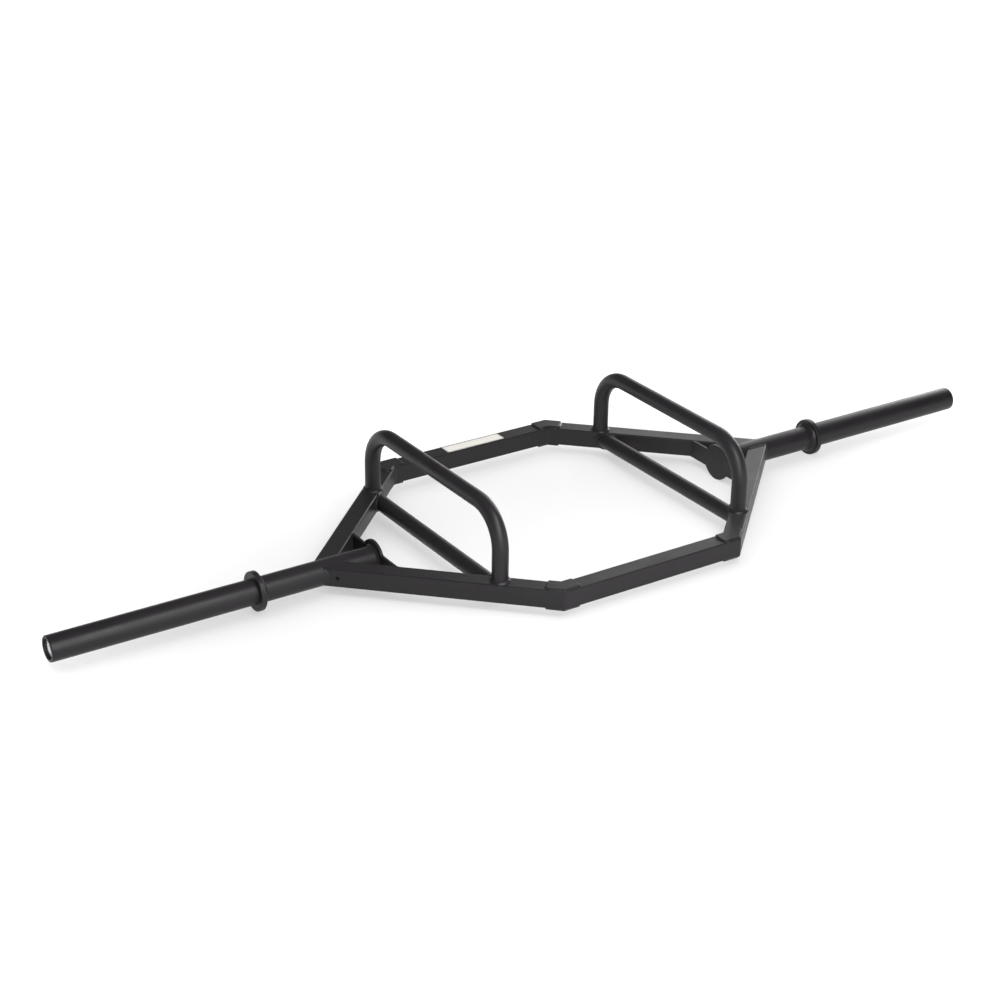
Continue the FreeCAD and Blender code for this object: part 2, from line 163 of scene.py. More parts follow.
@dataclass(frozen=True)
class PowderCoat:
    """Polyester powder coat, black, fine texture, baked on blasted steel.

    It gives the eye a soft satin sheen without mirror images, a very fine grain, and a film that is never
    quite the same thickness, so that its shade and gloss drift a little over a hand's width.
    """

    name: str
    thin_film: str = "#1D1B1D"
    thick_film: str = "#232123"
    roughness: float = 0.41
    roughness_drift: float = 0.05
    specular: float = 0.24
    drift_size: float = 70 * MM
    drift_detail: float = 2.0
    drift_low: float = 0.3
    drift_high: float = 0.7
    grain_size: float = 0.9 * MM
    grain_detail: float = 1.0
    grain_height: float = 0.02 * MM

    def material(self) -> bpy.types.Material:
        """Makes the coat's node material.

        Returns:
            The material, patterned on Object coordinates.
        """
        material, tree, output = new_material(self.name)
        place = add_node(tree, "ShaderNodeTexCoord").outputs["Object"]
        drift = add_node(
            tree, "ShaderNodeTexNoise",
            values={"Scale": 1 / self.drift_size, "Detail": self.drift_detail}, links={"Vector": place})
        film = add_node(tree, "ShaderNodeMix", {"data_type": "RGBA"}, links={"Factor": drift.outputs["Fac"]})
        film.inputs["A"].default_value = linear(self.thin_film)
        film.inputs["B"].default_value = linear(self.thick_film)
        gloss = add_node(
            tree, "ShaderNodeMapRange",
            values={
                "From Min": self.drift_low,
                "From Max": self.drift_high,
                "To Min": self.roughness - self.roughness_drift,
                "To Max": self.roughness + self.roughness_drift,
            },
            links={"Value": drift.outputs["Fac"]})
        # Real grains are about half this wide, which no view of the whole bar could show.
        grain = add_node(
            tree, "ShaderNodeTexNoise",
            values={"Scale": 1 / self.grain_size, "Detail": self.grain_detail}, links={"Vector": place})
        relief = add_node(
            tree, "ShaderNodeBump", values={"Strength": 1.0, "Distance": self.grain_height},
            links={"Height": grain.outputs["Fac"]})
        coat = add_node(
            tree, "ShaderNodeBsdfPrincipled", values={"Specular IOR Level": self.specular},
            links={
                "Base Color": film.outputs["Result"],
                "Roughness": gloss.outputs["Result"],
                "Normal": relief.outputs["Normal"],
            })
        tree.links.new(coat.outputs["BSDF"], output.inputs["Surface"])
        return material


@dataclass(frozen=True)
class TurnedZinc:
    """Zinc-plated mild steel, faced on a lathe.

    It gives the eye a bright, slightly blue metal with fine rings round its centre that spread reflections.
    """

    name: str = "zinc_plated_turned_steel"
    bright: str = "#D3D4DA"
    dull: str = "#B4B4BE"
    roughness: float = 0.24
    roughness_drift: float = 0.07
    ring_pitch: float = 0.8 * MM
    ring_waver: float = 0.4
    ring_height: float = 0.01 * MM
    cloud_size: float = 9 * MM

    def material(self, axis_z: float) -> bpy.types.Material:
        """Makes the plated steel's node material.

        Args:
            axis_z: Height of the lathe's axis, which runs along X.

        Returns:
            The material, with its rings about that axis.
        """
        material, tree, output = new_material(self.name)
        place = add_node(tree, "ShaderNodeTexCoord").outputs["Object"]
        centred = add_node(
            tree, "ShaderNodeMapping", values={"Location": (0.0, 0.0, -axis_z)}, links={"Vector": place})
        # A turn every 0.2 mm is usual. It is drawn coarser, so that a close view can show it.
        rings = add_node(
            tree, "ShaderNodeTexWave", {"wave_type": "RINGS", "rings_direction": "X"},
            values={"Scale": math.tau / (WAVE_TURN * self.ring_pitch), "Distortion": self.ring_waver},
            links={"Vector": centred.outputs["Vector"]})
        cloud = add_node(
            tree, "ShaderNodeTexNoise", values={"Scale": 1 / self.cloud_size}, links={"Vector": place})
        plating = add_node(
            tree, "ShaderNodeMix", {"data_type": "RGBA"}, links={"Factor": cloud.outputs["Fac"]})
        plating.inputs["A"].default_value = linear(self.bright)
        plating.inputs["B"].default_value = linear(self.dull)
        gloss = add_node(
            tree, "ShaderNodeMapRange",
            values={
                "To Min": self.roughness - self.roughness_drift,
                "To Max": self.roughness + self.roughness_drift,
            },
            links={"Value": cloud.outputs["Fac"]})
        relief = add_node(
            tree, "ShaderNodeBump", values={"Strength": 1.0, "Distance": self.ring_height},
            links={"Height": rings.outputs["Fac"]})
        steel = add_node(
            tree, "ShaderNodeBsdfPrincipled", values={"Metallic": 1.0},
            links={
                "Base Color": plating.outputs["Result"],
                "Roughness": gloss.outputs["Result"],
                "Normal": relief.outputs["Normal"],
            })
        tree.links.new(steel.outputs["BSDF"], output.inputs["Surface"])
        return material


@dataclass(frozen=True)
class LabelFilm:
    """Printed polyester label film with a matt overlaminate.

    It gives the eye a flat even print with a faint pearl drift and a soft, slightly pebbled gloss.
    """

    name: str
    print_low: str
    print_high: str
    roughness: float = 0.45
    pebble_size: float = 1.2 * MM
    pebble_height: float = 0.01 * MM
    drift_size: float = 25 * MM

    def material(self) -> bpy.types.Material:
        """Makes the film's node material.

        Returns:
            The material, patterned on Object coordinates.
        """
        material, tree, output = new_material(self.name)
        place = add_node(tree, "ShaderNodeTexCoord").outputs["Object"]
        drift = add_node(
            tree, "ShaderNodeTexNoise", values={"Scale": 1 / self.drift_size}, links={"Vector": place})
        ink = add_node(tree, "ShaderNodeMix", {"data_type": "RGBA"}, links={"Factor": drift.outputs["Fac"]})
        ink.inputs["A"].default_value = linear(self.print_low)
        ink.inputs["B"].default_value = linear(self.print_high)
        pebble = add_node(
            tree, "ShaderNodeTexNoise", values={"Scale": 1 / self.pebble_size}, links={"Vector": place})
        relief = add_node(
            tree, "ShaderNodeBump", values={"Strength": 1.0, "Distance": self.pebble_height},
            links={"Height": pebble.outputs["Fac"]})
        film = add_node(
            tree, "ShaderNodeBsdfPrincipled", values={"Roughness": self.roughness},
            links={"Base Color": ink.outputs["Result"], "Normal": relief.outputs["Normal"]})
        tree.links.new(film.outputs["BSDF"], output.inputs["Surface"])
        return material


@dataclass(frozen=True)
class StudioPaper:
    """White background paper.

    It gives the eye a plain white floor with the bar's soft shadow. The camera and reflections see it lifted,
    little in an oval round the bar, where the shadow lies, and more beyond.
    """

    name: str = "studio_paper"
    colour: str = "#CECECE"
    lift_near: float = 0.16
    lift_far: float = 0.9
    oval: tuple[float, float, float] = (0.56, 1.0, 1.0)
    oval_shift: tuple[float, float, float] = (0.04, 0.15, 0.0)
    near: float = 0.3
    far: float = 1.0

    def material(self) -> bpy.types.Material:
        """Makes the paper's node material.

        Returns:
            The material, which keeps the shadows that fall on it.
        """
        material, tree, output = new_material(self.name)
        path = add_node(tree, "ShaderNodeLightPath").outputs
        seen = add_node(tree, "ShaderNodeMath", {"operation": "MAXIMUM"})
        tree.links.new(path["Is Camera Ray"], seen.inputs[0])
        tree.links.new(path["Is Glossy Ray"], seen.inputs[1])
        shown = add_node(tree, "ShaderNodeMath", {"operation": "MAXIMUM"})
        tree.links.new(seen.outputs["Value"], shown.inputs[0])
        tree.links.new(path["Is Transmission Ray"], shown.inputs[1])
        place = add_node(tree, "ShaderNodeTexCoord").outputs["Object"]
        oval = add_node(
            tree, "ShaderNodeMapping", values={"Location": self.oval_shift, "Scale": self.oval},
            links={"Vector": place})
        away = add_node(
            tree, "ShaderNodeVectorMath", {"operation": "LENGTH"}, links={"Vector": oval.outputs["Vector"]})
        lift = add_node(
            tree, "ShaderNodeMapRange", {"interpolation_type": "SMOOTHSTEP"},
            values={
                "From Min": self.near,
                "From Max": self.far,
                "To Min": self.lift_near,
                "To Max": self.lift_far,
            },
            links={"Value": away.outputs["Value"]})
        strength = add_node(tree, "ShaderNodeMath", {"operation": "MULTIPLY"})
        tree.links.new(shown.outputs["Value"], strength.inputs[0])
        tree.links.new(lift.outputs["Result"], strength.inputs[1])
        paper = add_node(tree, "ShaderNodeBsdfDiffuse", values={"Color": linear(self.colour)})
        glow = add_node(tree, "ShaderNodeEmission", links={"Strength": strength.outputs["Value"]})
        both = add_node(tree, "ShaderNodeAddShader")
        tree.links.new(paper.outputs["BSDF"], both.inputs[0])
        tree.links.new(glow.outputs["Emission"], both.inputs[1])
        tree.links.new(both.outputs["Shader"], output.inputs["Surface"])
        return material


def add_piece(
    name: str, shape: bmesh.types.BMesh, materials: Sequence[bpy.types.Material], slot: Slot,
    sharp_angle: float = 40.0, flat: bool = False,
) -> bpy.types.Object:
    """Turns a finished bmesh into a piece that rides on the bar.

    Args:
        name: The piece's name.
        shape: The mesh in the frame's axes. It is freed.
        materials: The piece's materials in the order of its faces' material numbers.
        slot: The record's material slot of the piece. It is not used.
        sharp_angle: Edges that turn by more degrees than this stay sharp.
        flat: Whether large faces keep their own shading beside rounded rims.

    Returns:
        The new object.
    """
    mesh = bpy.data.meshes.new(name)
    for face in shape.faces:
        face.smooth = True
    shape.to_mesh(mesh)
    shape.free()
    mesh.set_sharp_from_angle(angle=math.radians(sharp_angle))
    for material in materials:
        mesh.materials.append(material)
    piece = bpy.data.objects.new(name, mesh)
    bpy.context.scene.collection.objects.link(piece)
    if flat:
        level = piece.modifiers.new("flat_faces", "WEIGHTED_NORMAL")
        level.keep_sharp = True
    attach(piece, BODY)
    return piece


def dress(node: str, material: bpy.types.Material) -> bpy.types.Object:
    """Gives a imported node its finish.

    Args:
        node: The node's name.
        material: The finish.

    Returns:
        The node's object.
    """
    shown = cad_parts[node]
    shown.data.materials.clear()
    shown.data.materials.append(material)
    return shown


@dataclass(frozen=True)
class Layout:
    """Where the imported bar's main parts stand, for its right rear quarter."""

    axis_z: float
    rail_half: float
    corner_x: float
    corner_y: float
    slope: float
    sleeve_radius: float = 25 * MM

    @classmethod
    def read(cls) -> "Layout":
        """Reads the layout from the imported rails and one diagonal.

        Returns:
            The layout.
        """
        low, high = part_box("rear_rail")
        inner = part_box("right_rear_diagonal")[0].x
        half = (high.z - low.z) / 2
        corner_x = (high.x + inner) / 2
        return cls(
            axis_z=(high.z + low.z) / 2, rail_half=half, corner_x=corner_x,
            corner_y=(high.y + low.y) / 2, slope=2 * math.atan((high.x - corner_x) / half))

    def corner(self, side: Side, end: End) -> Vector:
        """Where the centre lines of a long rail and a diagonal meet."""
        return Vector((side.value * self.corner_x, end.value * self.corner_y, self.axis_z))

    def run(self, side: Side, end: End) -> Vector:
        """Direction of a diagonal from its corner to the sleeve."""
        return Vector((side.value * math.cos(self.slope), -end.value * math.sin(self.slope), 0.0))

    def outward(self, side: Side, end: End) -> Vector:
        """Normal of a diagonal's outer face."""
        return Vector((side.value * math.sin(self.slope), end.value * math.cos(self.slope), 0.0))

    def face(self, level: Level) -> float:
        """Height of the rails' upper or lower face."""
        return self.axis_z + level.value * self.rail_half


@dataclass(frozen=True)
class Station:
    """One point on the root of a weld, with the outward normals of the two faces that meet there."""

    root: Vector
    first: Vector
    second: Vector


def straight_seam(start: Vector, stop: Vector, first: Vector, second: Vector, step: float) -> list[Station]:
    """Stations along a straight root.

    Args:
        start: Where the weld starts.
        stop: Where it stops.
        first: Outward normal of one face.
        second: Outward normal of the other.
        step: Greatest distance between stations.

    Returns:
        The stations in order.
    """
    count = max(LEAST_STEPS, math.ceil((stop - start).length / step))
    return [Station(start.lerp(stop, k / count), first, second) for k in range(count + 1)]


def tube_seam(
    foot: Vector, axis: Vector, across: Vector, radius: float, face: Vector, normal: Vector, step: float,
    reach: float = math.pi,
) -> list[Station]:
    """Stations where a round tube runs into a flat face.

    Args:
        foot: A point on the tube's axis.
        axis: Direction of the axis.
        across: A direction square to the axis, where the angle round the tube is zero.
        radius: The tube's outer radius.
        face: A point on the face.
        normal: The face's outward normal.
        step: Greatest distance between stations, measured on the tube.
        reach: Angle to which the seam runs on either side of zero. Pi closes it.

    Returns:
        The stations in order.
    """
    beside = axis.cross(across)
    count = math.ceil(2 * reach * radius / step)
    stations = []
    for k in range(count + 1):
        angle = reach * (2 * k / count - 1)
        radial = across * math.cos(angle) + beside * math.sin(angle)
        rim = foot + radial * radius
        along = (face - rim).dot(normal) / axis.dot(normal)
        stations.append(Station(rim + axis * along, radial, normal))
    return stations


def turn_outwards(shape: bmesh.types.BMesh, faces: Sequence[bmesh.types.BMFace]) -> None:
    """Turns the faces of one closed body outwards, which makes its volume positive.

    Args:
        shape: The mesh that holds the body.
        faces: The body's faces.
    """
    bmesh.ops.recalc_face_normals(shape, faces=faces)
    shape.normal_update()
    if sum(face.calc_area() * face.normal.dot(face.calc_center_median()) for face in faces) < 0:
        bmesh.ops.reverse_faces(shape, faces=faces)


@dataclass(frozen=True)
class Bead:
    """A weld bead under the coat: a shallow oval section whose crest leads its toes, laid in ripples."""

    leg: float = 4.5 * MM
    crown: float = 1.5 * MM
    ripple: float = 0.22
    pitch: float = 2.8 * MM
    lead: float = 1.4 * MM
    waver: float = 0.05
    waver_length: float = 23 * MM
    taper: float = 0.5
    sides: int = 10
    step: float = 0.7 * MM
    near: float = 0.1

    def section(self, here: Station, ahead: Vector, swell: float, ripple: float) -> Matrix:
        """Places the unit circle as the bead's section at a station.

        Args:
            here: The station.
            ahead: Direction of the seam there.
            swell: Size of the bead there, where 1 is the full leg.
            ripple: Height of the crown there, where 1 is the full crown.

        Returns:
            The matrix from the unit circle to the frame.
        """
        out = (here.first + here.second).normalized()
        half_turn = here.first.angle(here.second) / 2
        wide = ahead.cross(out).normalized()
        leg = self.leg * swell
        height = self.crown * swell * ripple
        columns = (wide * leg * math.cos(half_turn), out * height + ahead * self.lead, ahead)
        matrix = Matrix.Identity(4)
        for k, column in enumerate(columns):
            matrix.col[k] = column.to_4d() * Vector((1, 1, 1, 0))
        matrix.translation = here.root + out * (leg * math.sin(half_turn))
        return matrix

    def lay(self, shape: bmesh.types.BMesh, seam: Sequence[Station]) -> None:
        """Sweeps the bead along a seam.

        Args:
            shape: The mesh that takes the bead.
            seam: The stations in order. A seam whose ends meet is closed.
        """
        kept = set(shape.faces)
        closed = (seam[0].root - seam[-1].root).length < self.step * self.near
        runs = [(b.root - a.root).length for a, b in zip(seam, seam[1:])]
        total = sum(runs)
        ripples = max(1, round(total / self.pitch))
        wavers = max(1, round(total / self.waver_length))
        verts = bmesh.ops.create_circle(shape, segments=self.sides, radius=1.0)["verts"]
        edges = list(dict.fromkeys(edge for vert in verts for edge in vert.link_edges))
        first_edges, place, done = edges, Matrix.Identity(4), 0.0
        for k, here in enumerate(seam):
            if k:
                done += runs[k - 1]
                made = bmesh.ops.extrude_edge_only(shape, edges=edges)["geom"]
                verts = [item for item in made if isinstance(item, bmesh.types.BMVert)]
                fresh = set(verts)
                edges = [e for e in made if isinstance(e, bmesh.types.BMEdge) and fresh.issuperset(e.verts)]
            before = seam[k - 1] if k else (seam[-2] if closed else here)
            after = seam[k + 1] if k + 1 < len(seam) else (seam[1] if closed else here)
            share = done / total
            swell = 1 + self.waver * math.sin(math.tau * wavers * share)
            if not closed:
                edge = min(done, total - done) / self.leg
                swell *= self.taper + (1 - self.taper) * math.sin(math.pi / 2 * min(1.0, edge))
            ripple = 1 - self.ripple * (1 - abs(math.sin(math.pi * ripples * share)))
            target = self.section(here, (after.root - before.root).normalized(), swell, ripple)
            bmesh.ops.transform(shape, matrix=target @ place.inverted(), verts=verts)
            place = target
        if closed:
            bmesh.ops.remove_doubles(shape, verts=shape.verts[:], dist=self.step * self.near / 2)
        else:
            for ring in (first_edges, edges):
                bmesh.ops.contextual_create(shape, geom=ring)
        turn_outwards(shape, [face for face in shape.faces if face not in kept])


def raise_prism(shape: bmesh.types.BMesh, outline: Sequence[bmesh.types.BMVert], height: Vector) -> None:
    """Fills an outline and extrudes it into a closed prism.

    Args:
        shape: The mesh that holds the outline.
        outline: The outline's corners, in order round it.
        height: How far and which way the prism rises.
    """
    kept = set(shape.faces)
    pairs = zip(outline, [*outline[1:], outline[0]])
    edges = [shape.edges.get(pair) or shape.edges.new(pair) for pair in pairs]
    base = bmesh.ops.edgeloop_fill(shape, edges=edges)["faces"]
    made = bmesh.ops.extrude_face_region(shape, geom=base)["geom"]
    bmesh.ops.translate(shape, vec=height, verts=[v for v in made if isinstance(v, bmesh.types.BMVert)])
    turn_outwards(shape, [face for face in shape.faces if face not in kept])


def soft_plate(node: str, edge: float, corner: float = 0.0) -> bmesh.types.BMesh:
    """Copies a packed plate and rounds its rims as the coat does.

    Args:
        node: The plate's node.
        edge: Radius of the rims.
        corner: Radius of the upright edges, where they are rounder than the rims.

    Returns:
        The rounded plate.
    """
    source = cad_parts[node].data.copy()
    normals = source.attributes.get("custom_normal")
    if normals:
        source.attributes.remove(normals)
    shape = bmesh.new()
    shape.from_mesh(source)
    bpy.data.meshes.remove(source)
    bmesh.ops.remove_doubles(shape, verts=shape.verts[:], dist=MERGE_GAP)
    bmesh.ops.dissolve_limit(shape, angle_limit=FLAT_TURN, verts=shape.verts[:], edges=shape.edges[:])
    for item in (*shape.edges, *shape.faces):
        item.smooth = True
    if corner:
        upright = [
            e for e in shape.edges
            if e.calc_face_angle(0.0) > RIM_TURN
            and all(abs(f.normal.z) < UPRIGHT_RISE for f in e.link_faces)]
        bmesh.ops.bevel(
            shape, geom=upright, affect="EDGES", offset=corner, offset_type="OFFSET", segments=CORNER_STEPS,
            profile=0.5, material=-1)
    rims = [e for e in shape.edges if e.calc_face_angle(0.0) > RIM_TURN]
    bmesh.ops.bevel(
        shape, geom=rims, affect="EDGES", offset=edge, offset_type="OFFSET", segments=RIM_STEPS, profile=0.5,
        material=-1, clamp_overlap=True)
    return shape


@dataclass(frozen=True)
class Rails:
    """The two long rails and four diagonals, with the dressed welds of their mitres and round the sleeves."""

    layout: Layout
    edge_radius: float = 3 * MM
    cap_width: float = 4.5 * MM
    cap_height: float = 0.12 * MM
    cap_root: float = 2.0 * MM
    fillet_radius: float = 18 * MM
    fillet_steps: int = 8
    cope_bead: Bead = Bead(leg=2.8 * MM, crown=0.5 * MM, ripple=0.16)
    sharp_angle: float = 60.0

    def build(self, coat: bpy.types.Material) -> Iterator[bpy.types.Object]:
        """Dresses the rails and lays their welds.

        Args:
            coat: The finish of the tubes and of their dressed welds.

        Returns:
            The finished pieces.
        """
        yield dress("front_rail", coat)
        yield dress("rear_rail", coat)
        for side in Side:
            for end in End:
                quarter = f"{side.name}_{end.name}".lower()
                yield dress(f"{quarter}_diagonal", coat)
                shape = bmesh.new()
                self.lay_mitre(shape, side, end)
                self.lay_cope(shape, side, end)
                yield add_piece(f"{quarter}_rail_welds", shape, [coat], Slot.COAT, self.sharp_angle)

    def lay_mitre(self, shape: bmesh.types.BMesh, side: Side, end: End) -> None:
        """Lays the ground strip outside a corner's mitre and the smooth fillet inside it.

        Args:
            shape: The empty mesh that takes both.
            side: The corner's side.
            end: The corner's end.
        """
        layout = self.layout
        rail, diagonal = Vector((0.0, end.value, 0.0)), layout.outward(side, end)
        back, run = Vector((-side.value, 0.0, 0.0)), layout.run(side, end)
        middle = (rail + diagonal).normalized()
        lean = math.cos(layout.slope / 2)
        rise = UP * (layout.rail_half - self.edge_radius)
        corner = layout.corner(side, end) - rise
        inside = corner - middle * (layout.rail_half / lean)
        foot = shape.verts.new(inside + back * self.fillet_radius * math.tan(layout.slope / 2))
        bmesh.ops.spin(
            shape, geom=[foot], cent=inside - middle * (self.fillet_radius / lean), axis=UP,
            angle=-side.value * end.value * layout.slope, steps=self.fillet_steps)
        shape.verts.new(inside)
        raise_prism(shape, shape.verts[:], 2 * rise)
        outside = corner + middle * (layout.rail_half / lean)
        points = (
            outside + back * self.cap_width + rail * self.cap_height / 2,
            outside + middle * self.cap_height,
            outside + run * self.cap_width + diagonal * self.cap_height / 2,
            outside - middle * self.cap_root,
        )
        raise_prism(shape, [shape.verts.new(point) for point in points], 2 * rise)

    def lay_cope(self, shape: bmesh.types.BMesh, side: Side, end: End) -> None:
        """Lays the welds where a diagonal's coped end meets the sleeve.

        Args:
            shape: The mesh that takes the welds.
            side: The diagonal's side.
            end: The diagonal's end.
        """
        layout, radius = self.layout, self.layout.sleeve_radius
        corner, run, outward = layout.corner(side, end), layout.run(side, end), layout.outward(side, end)
        half, step = layout.rail_half, self.cope_bead.step
        seam_y = math.sqrt(radius ** 2 - half ** 2)
        along = (layout.corner_y - seam_y) / math.sin(layout.slope)
        middle = corner + run * along
        spread = Vector((1.0, 0.0, 0.0)) * (half - self.edge_radius) / math.sin(layout.slope)
        for level in Level:
            raised = UP * level.value
            sleeve = Vector((0.0, end.value * seam_y / radius, level.value * half / radius))
            self.cope_bead.lay(
                shape,
                straight_seam(
                    middle - spread + raised * half, middle + spread + raised * half, sleeve, raised, step))
        foot = Vector((0.0, 0.0, layout.axis_z))
        across = Vector((0.0, end.value, 0.0))
        reach = math.asin((half - self.edge_radius) / radius)
        for way in (1, -1):
            self.cope_bead.lay(
                shape,
                tube_seam(
                    foot, Vector((side.value, 0.0, 0.0)), across, radius, corner + outward * half * way,
                    outward * way, step, reach))


@dataclass(frozen=True)
class Gussets:
    """The flat plates over and under the four mitres, with rounded rims and welds at their ends and sides."""

    layout: Layout
    reach: float = 30 * MM
    half_width: float = 16 * MM
    rim: float = 1.5 * MM
    corner: float = 5 * MM
    end_bead: Bead = Bead(leg=3.4 * MM, crown=0.4 * MM)
    side_bead: Bead = Bead(leg=2.8 * MM, crown=0.4 * MM, pitch=2.4 * MM)
    side_fall: float = 0.5

    def build(self, coat: bpy.types.Material, weld_coat: bpy.types.Material) -> Iterator[bpy.types.Object]:
        """Makes the plates and their welds.

        Args:
            coat: The finish of the plates.
            weld_coat: The finish over the welds.

        Returns:
            The finished pieces.
        """
        for side in Side:
            for end in End:
                for level in Level:
                    node = f"{side.name}_{end.name}_{level.name}_gusset".lower()
                    shape = soft_plate(node, self.rim, self.corner)
                    plate = add_piece(f"{node}_plate", shape, [coat], Slot.COAT, flat=True)
                    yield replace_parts(plate, node)
                    shape = bmesh.new()
                    self.lay_welds(shape, side, end, level)
                    yield add_piece(f"{node}_welds", shape, [weld_coat], Slot.COAT)

    def lay_welds(self, shape: bmesh.types.BMesh, side: Side, end: End, level: Level) -> None:
        """Lays the welds at the two ends and along the long sides of one gusset.

        Args:
            shape: The mesh that takes the welds.
            side: The corner's side.
            end: The corner's end.
            level: Whether the plate is on top or underneath.
        """
        layout = self.layout
        raised = UP * level.value
        corner = layout.corner(side, end) + raised * layout.rail_half
        arms = (
            (Vector((-side.value, 0.0, 0.0)), Vector((0.0, end.value, 0.0))),
            (layout.run(side, end), layout.outward(side, end)),
        )
        for along, outward in arms:
            tip = corner + along * self.reach
            spread = outward * (self.half_width - self.corner)
            self.end_bead.lay(
                shape, straight_seam(tip - spread, tip + spread, along, raised, self.end_bead.step))
        middle = (arms[0][1] + arms[1][1]).normalized()
        for way in (1, -1):
            bend = corner + middle * (way * self.half_width / math.cos(layout.slope / 2))
            seams = []
            for along, outward in arms:
                wall = outward * way
                stop = corner + wall * self.half_width + along * (self.reach - self.corner)
                fall = (raised + wall * self.side_fall).normalized()
                seams.append(straight_seam(bend, stop, wall, fall, self.side_bead.step))
            bevel = middle * way
            turn = Station(bend, bevel, (raised + bevel * self.side_fall).normalized())
            self.side_bead.lay(shape, [*seams[0][:0:-1], turn, *seams[1][1:]])


@dataclass(frozen=True)
class Hubs:
    """The plates across the sleeves' inner ends, with the welds to the sleeve and to the diagonals."""

    layout: Layout
    rim: float = 1.0 * MM
    wing_margin: float = 2 * MM
    sleeve_bead: Bead = Bead(leg=3.4 * MM, crown=0.6 * MM)
    wing_bead: Bead = Bead(leg=3.6 * MM, crown=0.9 * MM)

    def build(self, coat: bpy.types.Material, weld_coat: bpy.types.Material) -> Iterator[bpy.types.Object]:
        """Makes the plates and their welds.

        Args:
            coat: The finish of the plates.
            weld_coat: The finish over the welds.

        Returns:
            The finished pieces.
        """
        for side in Side:
            node = f"{side.name}_hub_plate".lower()
            plate = add_piece(f"{node}_rounded", soft_plate(node, self.rim), [coat], Slot.COAT, flat=True)
            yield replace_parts(plate, node)
            shape = bmesh.new()
            faces = sorted(abs(corner.x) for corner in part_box(node))
            self.lay_welds(shape, side, faces)
            yield add_piece(f"{node}_welds", shape, [weld_coat], Slot.COAT)

    def lay_welds(self, shape: bmesh.types.BMesh, side: Side, faces: Sequence[float]) -> None:
        """Lays the ring round the sleeve and the upright welds at the ends of both wings.

        Args:
            shape: The mesh that takes the welds.
            side: The hub's side.
            faces: Distance of the plate's inner and outer face from the middle of the bar.
        """
        layout = self.layout
        away = Vector((side.value, 0.0, 0.0))
        centre = away * faces[1] + UP * layout.axis_z
        self.sleeve_bead.lay(
            shape,
            tube_seam(centre, away, UP, layout.sleeve_radius, centre, away, self.sleeve_bead.step))
        tall = UP * (layout.rail_half - self.wing_margin)
        for end in End:
            run, outward = layout.run(side, end), layout.outward(side, end)
            wall = layout.corner(side, end) - outward * layout.rail_half
            for distance, normal in zip(faces, (-away, away)):
                root = wall + run * ((side.value * distance - wall.x) / run.x)
                self.wing_bead.lay(
                    shape, straight_seam(root - tall, root + tall, normal, -outward, self.wing_bead.step))


@dataclass(frozen=True)
class Sleeves:
    """The two loading sleeves with their stop collars and turned end plugs."""

    layout: Layout
    plug_chamfer: float = 0.8 * MM
    plug_dimple: float = 2.2 * MM
    plug_steps: int = 96
    collar_fillet: Bead = Bead(
        leg=7.0 * MM, crown=0.9 * MM, ripple=0.0, lead=0.0, waver=0.03, sides=14, step=1.2 * MM)

    def build(
        self, coat: bpy.types.Material, weld_coat: bpy.types.Material, zinc: bpy.types.Material,
    ) -> Iterator[bpy.types.Object]:
        """Dresses the sleeves and collars and makes the plugs and collar fillets.

        Args:
            coat: The finish of sleeves and collars.
            weld_coat: The finish over the welds.
            zinc: The finish of the plugs.

        Returns:
            The finished pieces.
        """
        layout = self.layout
        for side in Side:
            name = side.name.lower()
            yield dress(f"{name}_sleeve", coat)
            yield dress(f"{name}_collar", coat)
            plug = add_piece(f"{name}_turned_plug", self.turn_plug(side), [zinc], Slot.PLUG)
            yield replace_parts(plug, f"{name}_sleeve_plug")
            shape = bmesh.new()
            inner = min(abs(corner.x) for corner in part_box(f"{name}_collar"))
            away = Vector((side.value, 0.0, 0.0))
            centre = away * inner + UP * layout.axis_z
            self.collar_fillet.lay(
                shape,
                tube_seam(centre, -away, UP, layout.sleeve_radius, centre, -away, self.collar_fillet.step))
            yield add_piece(f"{name}_collar_weld", shape, [weld_coat], Slot.COAT)

    def turn_plug(self, side: Side) -> bmesh.types.BMesh:
        """Turns one plug: a disc with a chamfered rim and a centre mark.

        Args:
            side: The plug's side.

        Returns:
            The plug's closed mesh.
        """
        low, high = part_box(f"{side.name.lower()}_sleeve_plug")
        face, back = sorted((low.x, high.x), key=abs, reverse=True)
        radius = (high.z - low.z) / 2
        inward = 1 if back > face else -1
        profile = (
            (face + inward * self.plug_dimple / 2, 0.0),
            (face, self.plug_dimple),
            (face, radius - self.plug_chamfer),
            (face + inward * self.plug_chamfer, radius),
            (back, radius),
            (back, 0.0),
        )
        shape = bmesh.new()
        points = [shape.verts.new((x, 0.0, self.layout.axis_z + r)) for x, r in profile]
        edges = [shape.edges.new(pair) for pair in zip(points, points[1:])]
        bmesh.ops.spin(
            shape, geom=points + edges, cent=(0.0, 0.0, self.layout.axis_z), axis=(1.0, 0.0, 0.0),
            angle=math.tau, steps=self.plug_steps, use_merge=True)
        bmesh.ops.remove_doubles(shape, verts=shape.verts[:], dist=MERGE_GAP)
        turn_outwards(shape, shape.faces[:])
        return shape


